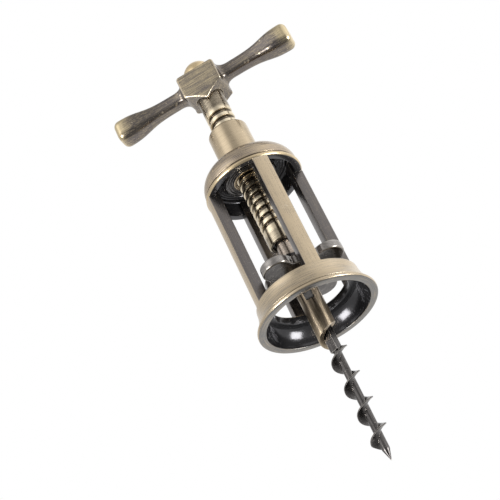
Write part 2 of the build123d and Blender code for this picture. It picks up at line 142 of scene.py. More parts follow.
class OpenerSizes(bpy.types.PropertyGroup):
    """Small sizes of the opener that the frame's boxes don't give"""

    edge_round: length("Edge round", "Width of the soft edges of turned pieces", 0.22)
    fit_gap: length("Fit gap", "Gap round the collar's lower end", 0.03)

    rim_width: length("Rim width", "Width of the bell's mouth face", 3.0)
    rim_height: length("Rim height", "Height of the bell's rolled rim", 1.7)
    rim_round: length("Rim round", "Radius of the rolled rim's corners", 0.7)
    rim_groove_depth: length("Rim groove depth", "Depth of the groove over the rim", 0.5)
    rim_groove_height: length("Rim groove height", "Height of the groove over the rim", 0.35)
    waist_radius: length("Waist radius", "Radius at the foot of the bell's band", 22.2)
    band_radius: length("Band radius", "Radius at the top of the bell's band", 19.7)
    band_flare: length("Band flare", "Inward curve of the bell's band", 0.45)
    seat_height: length("Seat height", "Height of the bottle's seat in the bell", 7.0)
    seat_radius: length("Seat radius", "Outer radius of the bottle's seat", 17.6)
    throat_radius: length("Throat radius", "Radius of the bell's throat", 14.5)
    bowl_bulge: length("Bowl bulge", "Outward curve of the bell's bowl", 0.7)

    bead_swell: length("Bead swell", "Swell of the upper ring's bead", 0.55)
    bead_height: length("Bead height", "Height of the upper ring's bead", 1.8)
    ring_groove_depth: length("Ring groove depth", "Depth of the groove over the bead", 0.35)
    ring_groove_height: length("Ring groove height", "Height of the groove over the bead", 0.4)
    crown_width: length("Crown width", "Width of the ring's domed shoulder", 3.4)
    crown_swell: length("Crown swell", "Outward swell of the domed shoulder", 1.0)
    crown_rise: length("Crown rise", "Upward swell of the domed shoulder", 0.5)
    roof_thickness: length("Roof thickness", "Thickness of the upper ring's roof", 3.0)
    roof_round: length("Roof round", "Radius between roof and skirt", 1.2)
    skirt_radius: length("Skirt radius", "Inner radius of the upper ring", 16.2)
    ridge_height: length("Ridge height", "Height of the roof's ridges", 0.35)
    ridge_width: length("Ridge width", "Width of the roof's ridges", 0.9)
    ridge_margin: length("Ridge margin", "From the lock ring to the first ridge", 0.4)

    post_edge: length("Post edge", "Radius of the posts' long edges", 0.22)
    tongue_gap: length("Tongue gap", "Between a post's tongue and the ring's skirt", 0.2)

    collar_round: length("Collar round", "Radius of the collar's upper edge", 1.3)
    collar_bore: length("Collar bore", "Radius of the collar's bore", 5.55)
    spigot_radius: length("Collar spigot", "Radius of the collar's lower end", 6.75)
    lock_chamfer: length("Lock ring chamfer", "Width of the lock ring's lower chamfer", 0.6)
    lock_groove_depth: length("Lock groove depth", "Depth of the lock ring's grooves", 0.45)
    lock_groove_reach: length("Lock groove reach", "Half width of a groove, less its outer side", 0.30)
    lock_groove_flank: length("Lock groove flank", "Width of a groove's slanting side", 0.15)
    lock_edge: length("Lock ring edge", "Width of the lock ring's soft edges", 0.06)

    thread_round: length("Thread round", "Width of the lifting screw's soft edges", 0.55)
    handle_grain: length("Handle grain", "Fineness of the handle's cast skin", 0.26)
    stud_radius: length("Stud bore", "Radius of the bore in the dome nut", 2.43)
    stud_depth: length("Stud depth", "Depth of the bore in the dome nut", 3.63)
    swivel_edge: length("Swivel edge", "Width of the soft edges on the swivel", 0.11)
    star_grain: length("Star grain", "Fineness of the guide star's cast skin", 0.25)
    carriage_edge: length("Carriage edge", "Width of the soft edges on nut, sleeve and key", 0.15)


class OpenerColours(bpy.types.PropertyGroup):
    """Colours of the opener's finishes, and of the floor"""

    tan_brass: colour("Tan brass", "Bare brass of bell, posts and collar", 0.56, 0.455, 0.315)
    wear: colour("Wear", "Rubbed edges of most pieces", 0.80, 0.68, 0.50)
    lacquer_dark: colour("Lacquer, dark", "Dark grain of the lacquer", 0.049, 0.048, 0.051)
    lacquer_light: colour("Lacquer, light", "Light grain of the lacquer", 0.090, 0.088, 0.092)
    bell_patina: colour("Bell patina", "Grey of the bell's mouth face", 0.200, 0.196, 0.192)
    ring_brass: colour("Ring brass", "Bare brass of the upper ring", 0.64, 0.51, 0.32)
    ring_patina: colour("Ring patina", "Tarnish of the upper ring", 0.27, 0.228, 0.205)
    post_patina: colour("Post patina", "Tarnish on the sides of the posts", 0.150, 0.138, 0.134)
    post_wear: colour("Post wear", "Rubbed edges of the posts", 0.93, 0.84, 0.68)
    collar_patina: colour("Collar patina", "Tarnish of the collar", 0.28, 0.225, 0.155)
    screw_brass: colour("Screw brass", "Bare brass of the lifting screw", 0.80, 0.69, 0.51)
    screw_patina: colour("Screw patina", "Tarnish in the screw's grooves", 0.085, 0.068, 0.054)
    handle_bronze: colour("Handle bronze", "Bare bronze of the T-handle", 0.63, 0.52, 0.325)
    handle_patina: colour("Handle patina", "Tarnish of the T-handle", 0.145, 0.128, 0.122)
    dome_brass: colour("Dome brass", "Bare brass of the dome nut", 0.80, 0.63, 0.38)
    dome_patina: colour("Dome patina", "Tarnish of the dome nut", 0.42, 0.32, 0.18)
    dark_bronze: colour("Dark bronze", "Bare bronze of bush and guide nut", 0.062, 0.058, 0.057)
    dark_patina: colour("Dark patina", "Black of bush and guide nut", 0.034, 0.031, 0.030)
    dark_wear: colour("Dark wear", "Rubbed edges of bush and guide nut", 0.26, 0.247, 0.238)
    lock_bronze: colour("Lock bronze", "Bare bronze of lock ring and key", 0.26, 0.250, 0.244)
    lock_patina: colour("Lock patina", "Tarnish of lock ring and key", 0.075, 0.071, 0.069)
    lock_wear: colour("Lock wear", "Rubbed edges of lock ring and key", 0.62, 0.60, 0.58)
    star_bronze: colour("Star bronze", "Bare bronze of the guide star", 0.37, 0.345, 0.322)
    star_patina: colour("Star patina", "Tarnish of the guide star", 0.080, 0.075, 0.073)
    star_wear: colour("Star wear", "Rubbed edges of the guide star", 0.66, 0.61, 0.54)
    sleeve_brass: colour("Sleeve brass", "Bare brass of the worm's sleeve", 0.68, 0.55, 0.37)
    sleeve_patina: colour("Sleeve patina", "Tarnish of the worm's sleeve", 0.125, 0.101, 0.088)
    shaft_steel: colour("Shaft steel", "Bare steel of shaft and washer", 0.52, 0.44, 0.37)
    shaft_patina: colour("Shaft patina", "Tarnish of shaft and washer", 0.16, 0.135, 0.115)
    worm_steel: colour("Worm steel", "Bare steel of the worm", 0.165, 0.155, 0.149)
    worm_patina: colour("Worm patina", "Black of the worm", 0.042, 0.039, 0.038)
    worm_wear: colour("Worm wear", "Rubbed edges of the worm's flight", 0.80, 0.75, 0.68)
    floor: colour("Floor", "Pale floor under the opener", 0.9, 0.9, 0.9)


class StageSettings(bpy.types.PropertyGroup):
    """Camera, light and floor"""

    azimuth: angle("Azimuth", "Turn of the camera about the axis", -18.702)
    elevation: angle("Elevation", "Rise of the camera", -30.456)
    roll: angle("Roll", "Roll of the camera", -25.913)
    distance: length("Distance", "From the camera to the aim, along its view", 582.117)
    aim_height: length("Aim height", "Height of the camera's aim on the axis", 40)
    room_light: bpy.props.FloatProperty(
        name="Room light", description="Level of the light from all round", default=0.62, min=0)
    lamp_distance: length("Lamp distance", "From the opener's middle to each lamp", 900)
    lamp_size: length("Lamp size", "Side of each square lamp", 360)
    lamp_power: bpy.props.FloatProperty(
        name="Lamp power", description="Power of each lamp", default=6.3, min=0, unit="POWER")
    floor_size: length("Floor size", "Side of the square floor", 20000)
    floor_gap: length("Floor gap", "From the worm's point down to the floor", 1.5)


# Outlines of turned pieces: points of radius and height


def arc(start, middle, end, steps=ARC_STEPS):
    """Points after start on the round stretch that passes through middle to end."""
    (ax, ay), (bx, by), (cx, cy) = start, middle, end
    scale = 2 * (ax * (by - cy) + bx * (cy - ay) + cx * (ay - by))
    a2, b2, c2 = ax * ax + ay * ay, bx * bx + by * by, cx * cx + cy * cy
    centre_x = (a2 * (by - cy) + b2 * (cy - ay) + c2 * (ay - by)) / scale
    centre_y = (a2 * (cx - bx) + b2 * (ax - cx) + c2 * (bx - ax)) / scale
    centre = Vector((centre_x, centre_y))
    first, second, last = (Vector(point) - centre for point in (start, middle, end))
    turn = first.angle_signed(second) + second.angle_signed(last)
    points = []
    for step in range(1, steps + 1):
        spoke = Matrix.Rotation(-turn * step / steps, 2) @ first
        points.append(tuple(centre + spoke))
    return points


def swell(start, end, height):
    """Points after start on one soft wave of a height, over the run to end."""
    (ax, ay), (bx, by) = start, end
    points = []
    for step in range(1, ARC_STEPS + 1):
        share = step / ARC_STEPS
        lift = height * (1 - cos(2 * pi * share)) / 2
        points.append((ax + (bx - ax) * share, ay + (by - ay) * share + lift))
    return points


def corner(start, end, centre, steps=CORNER_STEPS):
    """Points after start on the quarter round about centre to end."""
    share = sqrt(0.5)
    middle = [c + (s - c) * share + (e - c) * share for s, e, c in zip(start, end, centre)]
    return arc(start, middle, end, steps)


# Modelling steps


def deselect_all():
    """Leaves nothing selected, in object mode."""
    if bpy.context.object and bpy.context.object.mode != "OBJECT":
        bpy.ops.object.mode_set(mode="OBJECT")
    bpy.ops.object.select_all(action="DESELECT")


def select_only(piece):
    """Leaves one piece selected and active, in object mode."""
    deselect_all()
    piece.select_set(True)
    bpy.context.view_layer.objects.active = piece


def name_active(name):
    """Names the active object and its mesh."""
    piece = bpy.context.object
    piece.name = name
    piece.data.name = name
    return piece


def piece_name(node):
    """The name of the piece that stands for a node."""
    return node.title().replace("_", "")


def duplicated(source, node):
    """A copy of an object with its own mesh, named for a node."""
    select_only(source)
    bpy.ops.object.duplicate(linked=False)
    return name_active(piece_name(node))


def draw_outline(node, outline, rise):
    """Draws a closed outline of distances along X and rise by extruding a point. Stays in edit mode."""
    deselect_all()
    bpy.ops.mesh.primitive_plane_add(size=MM)
    piece = name_active(piece_name(node))
    bpy.ops.object.mode_set(mode="EDIT")
    bpy.ops.mesh.select_mode(type="VERT")
    bpy.ops.mesh.select_all(action="SELECT")
    bpy.ops.mesh.merge(type="CENTER")
    points = [Vector((along, 0, 0)) + Vector(rise) * across for along, across in (*outline, outline[0])]
    bpy.ops.transform.translate(value=points[0])
    for start, end in zip(points, points[1:]):
        bpy.ops.mesh.extrude_vertices_move(TRANSFORM_OT_translate={"value": end - start})
    bpy.ops.mesh.select_all(action="SELECT")
    return piece


def close_mesh():
    """Merges doubles, turns the faces outwards and leaves edit mode."""
    bpy.ops.mesh.select_all(action="SELECT")
    bpy.ops.mesh.remove_doubles(threshold=MERGE_DISTANCE)
    bpy.ops.mesh.dissolve_degenerate(threshold=MERGE_DISTANCE)
    bpy.ops.mesh.select_all(action="SELECT")
    bpy.ops.mesh.normals_make_consistent(inside=False)
    bpy.ops.object.mode_set(mode="OBJECT")


def turn_piece(node, outline, edge, finish, steps=SPIN_STEPS):
    """Turns a node's piece on the Z axis from its outline, and softens and fits it."""
    piece = draw_outline(node, outline, rise=(0, 0, 1))
    bpy.ops.mesh.spin(steps=steps, angle=2 * pi, center=(0, 0, 0), axis=(0, 0, 1))
    close_mesh()
    soften(piece, edge)
    fit(piece, node, finish)


def copied(node):
    """A merged copy of a node's solid, free of the node's body, marks and material."""
    piece = duplicated(frame["nodes"][node], node)
    bpy.ops.object.parent_clear(type="CLEAR_KEEP_TRANSFORM")
    for key in list(piece.keys()):
        del piece[key]
    piece.data.materials.clear()
    bpy.ops.mesh.customdata_custom_splitnormals_clear()
    bpy.ops.object.mode_set(mode="EDIT")
    bpy.ops.mesh.select_mode(type="VERT")
    close_mesh()
    return piece


def apply_modifier(piece, kind, **settings):
    """Adds a modifier with its settings to a piece, and applies it."""
    select_only(piece)
    modifier = piece.modifiers.new(kind.title(), kind)
    for key, value in settings.items():
        setattr(modifier, key, value)
    bpy.ops.object.modifier_apply(modifier=modifier.name)


def shade(piece):
    """Smooths a piece's shading up to its sharp edges."""
    select_only(piece)
    bpy.ops.object.shade_smooth_by_angle(angle=SHARP_ANGLE)


def soften(piece, width, segments=BEVEL_SEGMENTS):
    """Rounds a piece's sharp edges, and smooths its shading."""
    apply_modifier(
        piece, "BEVEL", width=width, segments=segments, limit_method="ANGLE", angle_limit=SHARP_ANGLE,
        miter_outer="MITER_ARC")
    shade(piece)


def cast(piece, grain, rounds):
    """Remeshes a piece at a grain and smooths it, so that its corners are round as cast ones are."""
    apply_modifier(piece, "REMESH", mode="VOXEL", voxel_size=grain)
    apply_modifier(piece, "SMOOTH", factor=SMOOTHING, iterations=rounds)
    bpy.ops.object.shade_smooth()


def melt(piece, share, rounds):
    """Smooths a casting further, by a share that depends on each point's place."""
    group = piece.vertex_groups.new(name="Melted")
    for vertex in piece.data.vertices:
        group.add([vertex.index], share(vertex.co), "REPLACE")
    apply_modifier(piece, "SMOOTH", vertex_group=group.name, factor=SMOOTHING, iterations=rounds)
    bpy.ops.object.vertex_group_remove(all=True)


def fit(piece, node, finish):
    """Dresses a finished piece, and lets it stand for its node on the node's body."""
    record = frame["record"]
    slot = next(row["material_slot"] for row in record["subparts"] if row["node"] == node)
    body = next(name for name, nodes in record["behaviour"]["bodies"].items() if node in nodes)
    piece.data.materials.clear()
    piece.data.materials.append(finish)
    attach(piece, body)
    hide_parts(node)


def soften_copy(node, edge, finish, segments=BEVEL_SEGMENTS):
    """Copies a node's solid, and softens and fits the copy."""
    piece = copied(node)
    soften(piece, edge, segments)
    fit(piece, node, finish)


# Shader maths


def plug(tree, socket, value):
    """Links a socket to a Socket, or sets its own value."""
    if isinstance(value, Socket):
        tree.links.new(value.link, socket)
    else:
        socket.default_value = value


class Socket:
    """A shader socket. Arithmetic on it adds Math nodes to its tree."""

    def __init__(self, tree, link):
        self.tree = tree
        self.link = link

    def math(self, operation, *values):
        node = self.tree.nodes.new("ShaderNodeMath")
        node.operation = operation
        for socket, value in zip(node.inputs, values):
            plug(self.tree, socket, value)
        return Socket(self.tree, node.outputs[0])

    def __add__(self, other):
        return self.math("ADD", self, other)

    def __radd__(self, other):
        return self.math("ADD", other, self)

    def __sub__(self, other):
        return self.math("SUBTRACT", self, other)

    def __rsub__(self, other):
        return self.math("SUBTRACT", other, self)

    def __mul__(self, other):
        return self.math("MULTIPLY", self, other)

    def __rmul__(self, other):
        return self.math("MULTIPLY", other, self)

    def __truediv__(self, other):
        return self.math("DIVIDE", self, other)

    def __rtruediv__(self, other):
        return self.math("DIVIDE", other, self)

    def __pow__(self, other):
        return self.math("POWER", self, other)

    def __abs__(self):
        return self.math("ABSOLUTE", self)


# Samples, and values where a soft step starts and ends
HOLLOW_SAMPLES = 8
EDGE_SAMPLES = 6
EDGE_STEP = (0.01, 0.16)
RIDGE_STEP = (0.506, 0.540)


class Finish:
    """A node tree under construction, with the piece's own millimetres at hand."""

    def __init__(self, tree):
        self.tree = tree
        tree.nodes.clear()

    def node(self, kind, settings=None, sockets=None, out=0):
        """Adds a node of a kind: settings first, then its sockets' values or links."""
        node = self.tree.nodes.new("ShaderNode" + kind)
        for key, value in (settings or {}).items():
            setattr(node, key, value)
        for key, value in (sockets or {}).items():
            plug(self.tree, node.inputs[key], value)
        return Socket(self.tree, node.outputs[out]) if node.outputs else None

    def millimetres(self):
        """Sets the piece's coordinates, their parts and the distance from the Z axis, in millimetres."""
        place = self.node("TexCoord", out="Object")
        self.place = self.node("VectorMath", {"operation": "SCALE"}, {0: place, "Scale": 1 / MM})
        parts = self.node("SeparateXYZ", sockets={0: self.place}).link.node
        self.x, self.y, self.z = (Socket(self.tree, link) for link in parts.outputs)
        self.radius = (self.x * self.x + self.y * self.y) ** 0.5

    def vector(self, x, y, z):
        return self.node("CombineXYZ", sockets={0: x, 1: y, 2: z})

    def noise(self, vector, scale=1.0, detail=2.0, roughness=0.5):
        sockets = {"Vector": vector, "Scale": scale, "Detail": detail, "Roughness": roughness}
        return self.node("TexNoise", sockets=sockets)

    def step(self, value, start, end, low=0.0, high=1.0):
        """A soft step from low, where a value is at start, to high, where it is at end."""
        settings = {"interpolation_type": "SMOOTHSTEP"}
        sockets = {"Value": value, "From Min": start, "From Max": end, "To Min": low, "To Max": high}
        return self.node("MapRange", settings, sockets)

    def mix(self, share, first, second):
        """A colour between two colours."""
        return self.node("Mix", {"data_type": "RGBA"}, {0: share, 6: first, 7: second}, out=2)

    def hollow(self, depth):
        """1 in recesses about as deep as given, 0 on open faces."""
        open_share = self.node(
            "AmbientOcclusion", {"samples": HOLLOW_SAMPLES}, {"Distance": depth * MM}, out="AO")
        return 1 - open_share

    def edge(self, width):
        """1 on edges about as wide as given."""
        rounded = self.node("Bevel", {"samples": EDGE_SAMPLES}, {"Radius": width * MM})
        true_normal = self.node("NewGeometry", out="Normal")
        return self.step(1 - self.dot(rounded, true_normal), *EDGE_STEP)

    def ridge(self):
        """1 on the outer edges of a finely meshed casting."""
        return self.step(self.node("NewGeometry", out="Pointiness"), *RIDGE_STEP)

    def dot(self, first, second):
        return self.node("VectorMath", {"operation": "DOT_PRODUCT"}, {0: first, 1: second}, out="Value")

    def toward(self, x, y, z):
        """How far the surface faces a direction of the piece."""
        return self.dot(self.node("TexCoord", out="Normal"), (x, y, z))

    def outward(self):
        """How far the surface faces away from the Z axis."""
        normal = self.node("TexCoord", out="Normal")
        return self.dot(normal, self.vector(self.x / self.radius, self.y / self.radius, 0.0))


# Brushing and scratches: noise that is stretched, in waves to the millimetre


def streaks_of(finish, x, y, z):
    """Streaks along the direction in which a place changes least."""
    return finish.noise(finish.vector(x, y, z), detail=3.0, roughness=0.6)


def round_brushing(finish):
    """Streaks that run round the Z axis, without a seam."""
    around, across = 2.0, 5.0
    x = finish.x / finish.radius * around
    y = finish.y / finish.radius * around
    return streaks_of(finish, x, y, (finish.z + finish.radius) * across)


def long_brushing(finish):
    """Streaks that run along the Z axis."""
    along, across = 0.10, 3.0
    return streaks_of(finish, finish.x * across, finish.y * across, finish.z * along)


def bar_places(x, y):
    """How far along the handle's bar a place lies, and how far across it."""
    along = x * cos(BAR_TURN) + y * sin(BAR_TURN)
    across = y * cos(BAR_TURN) - x * sin(BAR_TURN)
    return along, across


def bar_brushing(finish):
    """Streaks that run along the handle's bar."""
    lengthways, crossways = 0.10, 3.2
    along, across = bar_places(finish.x, finish.y)
    return streaks_of(finish, along * lengthways, across * crossways, finish.z * crossways)


def scratches(finish, density):
    """Thin bright scuffs in two slanting directions, gathered in patches."""
    x, y, z = finish.x, finish.y, finish.z
    fine, coarse = 2.4, 0.5
    steep = finish.vector(x * coarse + z * fine, y * fine - z * coarse, x * fine)
    thin, slant, loose, blunt = 2.6, 0.4, 0.9, 0.5
    flat = finish.vector(y * thin - z * slant, x * slant + z * loose, y * blunt)
    lines = finish.step(finish.noise(steep), 0.66, 0.72)
    marks = finish.step(finish.noise(flat, scale=1.3), 0.67, 0.73)
    patches = finish.step(finish.noise(finish.place, scale=0.35), 0.42, 0.62)
    return (lines + marks) * patches * density


# The antique finish: where its soft steps start and end, and shares of its parts
STREAK_STEP = (0.28, 0.72)
RUBBED_STEP = (-0.25, 1.25)
HOLLOW_STEP = (0.15, 0.75)
BROKEN_STEP = (0.26, 0.48)
NOISE_MIDDLE = 0.5
NOISE_GAIN = 2
# Darkness of recesses and gaps, patina and painted shade, as a share of the patina colour
PATINA_AND_SHADE_DARKNESS = 0.18
LACQUER_SHARE = 0.3
ROUGH_SHARE = 0.35
BUMP_STRENGTH = 0.10
BUMP_HEIGHT = 0.05 * MM
TURNING_DIRECTION = 0.25

# Strengths of its effects, sizes in millimetres, and roughness
PLAIN_LOOK = {
    "blotch": 0.35,
    "speck": 0.30,
    "streak": 0.55,
    "scratch": 0.25,
    # Depth and strength of the darkening in recesses and gaps: patina and painted shade
    "hollow_depth": 1.2,
    "hollow": 0.85,
    "edge_width": 0.25,
    "edge": 0.70,
    "unbroken": 0.0,
    "casting": False,
    "smooth": 0.24,
    "rough": 0.40,
    "turning": 0.0,
    "black": None,
    "black_rough": 0.20,
}


def antique(name):
    """The material of a row of FINISHES, in the user's colours.

    It is plated metal that is rubbed bare in places, keeps a dark patina in others and is worn along
    its edges. Its recesses and the gaps between pieces are darkened, partly as dark patina in the
    hollows and partly as painted shade. The share of bare metal is a number or a function of the place."""
    colours = bpy.context.scene.opener_colours
    names, rubbed, brushing, look = FINISHES[name]
    metal, patina, worn = (getattr(colours, key) for key in names)
    use = {**PLAIN_LOOK, **look}
    material = bpy.data.materials.new(name)
    material.use_nodes = True
    finish = Finish(material.node_tree)
    finish.millimetres()
    streaks = finish.step(brushing(finish), *STREAK_STEP)
    blotches = finish.noise(finish.place, scale=0.16, detail=5.0, roughness=0.6)
    specks = finish.noise(finish.place, scale=2.2, detail=4.0, roughness=0.65)
    uneven = (streaks - NOISE_MIDDLE) * use["streak"]
    uneven = uneven + (blotches - NOISE_MIDDLE) * use["blotch"] * NOISE_GAIN
    uneven = uneven + (specks - NOISE_MIDDLE) * use["speck"] * NOISE_GAIN
    bare = rubbed(finish) if callable(rubbed) else rubbed
    share = finish.step(bare + uneven, *RUBBED_STEP)
    shown = finish.mix(share, (*patina, 1), (*metal, 1))
    # Recesses and gaps between pieces are darkened: dark patina in the hollows, and painted shade
    patina_and_shade_mask = finish.step(finish.hollow(use["hollow_depth"]), *HOLLOW_STEP, high=use["hollow"])
    dark_patina_and_shade = [part * PATINA_AND_SHADE_DARKNESS for part in patina]
    shown = finish.mix(patina_and_shade_mask, shown, (*dark_patina_and_shade, 1))
    outer = finish.ridge() if use["casting"] else finish.edge(use["edge_width"])
    edges = outer * use["edge"] * finish.step(specks, *BROKEN_STEP, low=use["unbroken"])
    wear = (edges + scratches(finish, use["scratch"])) * (1 - patina_and_shade_mask)
    shown = finish.mix(wear, shown, (*worn, 1))
    rough = use["smooth"] + (use["rough"] - use["smooth"]) * (ROUGH_SHARE + uneven)
    metallic = 1.0
    if use["black"]:
        mask = use["black"](finish)
        lacquer = finish.mix(specks, (*colours.lacquer_dark, 1), (*colours.lacquer_light, 1))
        shown = finish.mix(mask * (1 - edges), shown, lacquer)
        rough = rough * (1 - mask) + mask * use["black_rough"]
        metallic = 1 - mask * LACQUER_SHARE
    height = (streaks + specks) / 2
    bump = finish.node(
        "Bump", sockets={"Strength": BUMP_STRENGTH, "Distance": BUMP_HEIGHT, "Height": height})
    shader = finish.node("BsdfPrincipled", sockets={
        "Base Color": shown,
        "Roughness": rough,
        "Metallic": metallic,
        "Normal": bump,
        "Anisotropic": use["turning"],
        "Anisotropic Rotation": TURNING_DIRECTION,
    })
    finish.node("OutputMaterial", sockets={"Surface": shader})
    return material


# Where finishes change. Heights and distances from the axis are in millimetres.


def bell_rubbed(finish):
    """Bare, apart from the mouth face."""
    mouth_edge = (0.10, 0.40)
    return finish.step(finish.z, *mouth_edge, low=-0.05, high=0.93)


def bell_black(finish):
    """Black lacquer in the bowl and the throat."""
    bowl_edge, bowl_slope, lacquer_foot, lacquer_top = (21.1, 20.9), 0.25, (0.08, 0.30), (10.0, 9.85)
    inner = finish.step(finish.radius + finish.z * bowl_slope, *bowl_edge)
    return inner * finish.step(finish.z, *lacquer_foot) * finish.step(finish.z, *lacquer_top)


def ring_rubbed(finish):
    """Bare on the bead, and less so on the dome."""
    bead_line = (61.5, 61.1)
    return finish.step(finish.z, *bead_line, low=0.40)


def ring_black(finish):
    """Black lacquer inside the skirt and on its foot."""
    inner_wall, roof_line, facing_down, foot_line = (17.3, 17.0), (66.6, 66.4), (0.80, 0.95), (60.0, 59.8)
    inside = finish.step(finish.radius, *inner_wall) * finish.step(finish.z, *roof_line)
    foot = finish.step(finish.toward(0, 0, -1), *facing_down) * finish.step(finish.z, *foot_line)
    return inside + (1 - inside) * foot


def post_rubbed(finish):
    """Bare on the outer faces."""
    facing_out = (0.88, 0.98)
    return finish.step(finish.outward(), *facing_out, low=-0.15, high=0.95)


def screw_rubbed(finish):
    """Bare on the crests, and less so on the stem and the foot."""
    groove_to_crest, stem_line, foot_line = (4.6, 5.1), (95.5, 97.5), (37.5, 36.0)
    stem = finish.step(finish.z, *stem_line, high=0.82)
    foot = finish.step(finish.z, *foot_line, high=0.55)
    return finish.step(finish.radius, *groove_to_crest) * (1 - stem - foot)


def handle_rubbed(finish):
    """Bare at the bar's ends and in part on the hub's front and back; the lighter tops of the ends are a
    painted highlight.
    """
    facing_front, hub_edge, bar_end, painted_top_highlight_reach = (0.80, 0.97), (8.6, 8.1), (30.0, 38.5), 3.5
    along, _ = bar_places(finish.x, finish.y)
    front = abs(finish.toward(sin(BAR_TURN), -cos(BAR_TURN), 0))
    hub = finish.step(front, *facing_front, low=0.25) * finish.step(abs(along), *hub_edge, high=0.36)
    # Facing up lengthens the bare ends: a painted highlight on the tops of the arms, over the wear
    reach = abs(along) + finish.toward(0, 0, 1) * painted_top_highlight_reach
    return hub + finish.step(reach, *bar_end, low=-0.02, high=1.18)


def star_rubbed(finish):
    """Bare on the walls."""
    facing_aside = (0.9, 0.5)
    return finish.step(abs(finish.toward(0, 0, 1)), *facing_aside, low=0.15, high=0.70)


# Finishes: colours of metal, patina and wear, share of bare metal, brushing, and changes to the plain look
FINISHES = {
    "bell_brass": (
        ("tan_brass", "bell_patina", "wear"), bell_rubbed, round_brushing,
        {"streak": 1.0, "blotch": 0.45, "black": bell_black, "black_rough": 0.165}),
    "ring_brass": (
        ("ring_brass", "ring_patina", "wear"), ring_rubbed, round_brushing,
        {"streak": 0.65, "black": ring_black}),
    "post_brass": (
        ("tan_brass", "post_patina", "post_wear"), post_rubbed, long_brushing,
        {"speck": 0.42, "streak": 0.40, "edge": 1.0, "edge_width": 0.4, "unbroken": 0.75}),
    "collar_brass": (
        ("tan_brass", "collar_patina", "wear"), 0.75, round_brushing,
        {"blotch": 0.20, "streak": 0.40, "speck": 0.20, "scratch": 0.08, "smooth": 0.22, "rough": 0.34}),
    "screw_brass": (
        ("screw_brass", "screw_patina", "wear"), screw_rubbed, round_brushing,
        {"hollow_depth": 1.0, "streak": 0.45, "edge": 0.6, "unbroken": 0.5, "scratch": 0.20,
         "smooth": 0.20, "rough": 0.30, "turning": 0.8}),
    "handle_bronze": (
        ("handle_bronze", "handle_patina", "wear"), handle_rubbed, bar_brushing,
        {"blotch": 0.40, "speck": 0.55, "streak": 0.70, "scratch": 0.70, "edge": 0.65, "casting": True,
         "unbroken": 0.7, "smooth": 0.20, "rough": 0.36}),
    "dome_brass": (
        ("dome_brass", "dome_patina", "wear"), 0.8, round_brushing,
        {"blotch": 0.20, "streak": 0.30, "scratch": 0.08, "smooth": 0.22, "rough": 0.34}),
    "dark_bronze": (
        ("dark_bronze", "dark_patina", "dark_wear"), 0.20, round_brushing,
        {"edge": 0.35, "edge_width": 0.12, "scratch": 0.12, "hollow": 0.6, "smooth": 0.16, "rough": 0.30}),
    "lock_bronze": (
        ("lock_bronze", "lock_patina", "lock_wear"), 0.5, round_brushing,
        {"edge": 0.9, "edge_width": 0.15, "unbroken": 0.6, "hollow_depth": 0.5, "hollow": 0.7,
         "smooth": 0.14, "rough": 0.26}),
    "star_bronze": (
        ("star_bronze", "star_patina", "star_wear"), star_rubbed, round_brushing,
        {"blotch": 0.50, "speck": 0.50, "streak": 0.45, "scratch": 0.55, "edge": 0.5, "casting": True,
         "unbroken": 0.4, "smooth": 0.18, "rough": 0.32}),
    "sleeve_brass": (
        ("sleeve_brass", "sleeve_patina", "wear"), 0.42, long_brushing,
        {"streak": 0.50, "edge": 0.95, "edge_width": 0.35, "unbroken": 0.7, "scratch": 0.12,
         "smooth": 0.30, "rough": 0.40, "turning": 0.8}),
    "shaft_steel": (
        ("shaft_steel", "shaft_patina", "wear"), 0.45, round_brushing,
        {"streak": 0.45, "smooth": 0.20, "rough": 0.34}),
    "worm_steel": (
        ("worm_steel", "worm_patina", "worm_wear"), 0.42, long_brushing,
        {"speck": 0.50, "edge": 0.9, "edge_width": 0.2, "scratch": 0.45, "unbroken": 0.5,
         "smooth": 0.20, "rough": 0.36}),
}


# Pieces


class OPENER_OT_bell(bpy.types.Operator):
    """Turns the bell with its rolled rim, groove, flared band and ledge"""

    bl_idname = "opener.bell"
    bl_label = "Bell"

    def execute(self, context):
        sizes = context.scene.opener_sizes
        mouth, top = BELL_HIGH.x, BELL_HIGH.z
        bore = mouth - sizes.rim_width
        rim, rim_round = sizes.rim_height, sizes.rim_round
        rim_in = mouth - rim_round
        groove_radius = sizes.waist_radius - sizes.rim_groove_depth
        band_foot = rim + sizes.rim_groove_height
        band_start, band_end = (sizes.waist_radius, band_foot), (sizes.band_radius, top)
        band_middle = [(low + high) / 2 - sizes.band_flare for low, high in zip(band_start, band_end)]
        bowl_start = (sizes.seat_radius, sizes.seat_height)
        bowl_middle = ((sizes.seat_radius + bore) / 2 + sizes.bowl_bulge, sizes.seat_height / 2)
        outline = [(rim_in, 0)]
        outline += corner((rim_in, 0), (mouth, rim_round), (rim_in, rim_round))
        outline += [(mouth, rim - rim_round)]
        outline += corner((mouth, rim - rim_round), (rim_in, rim), (rim_in, rim - rim_round))
        outline += [(groove_radius, rim), (groove_radius, band_foot), band_start]
        outline += arc(band_start, band_middle, band_end)
        outline += [(sizes.throat_radius, top), (sizes.throat_radius, sizes.seat_height), bowl_start]
        outline += arc(bowl_start, bowl_middle, (bore, 0))
        turn_piece("bell", outline, sizes.edge_round, antique("bell_brass"))
        return {"FINISHED"}


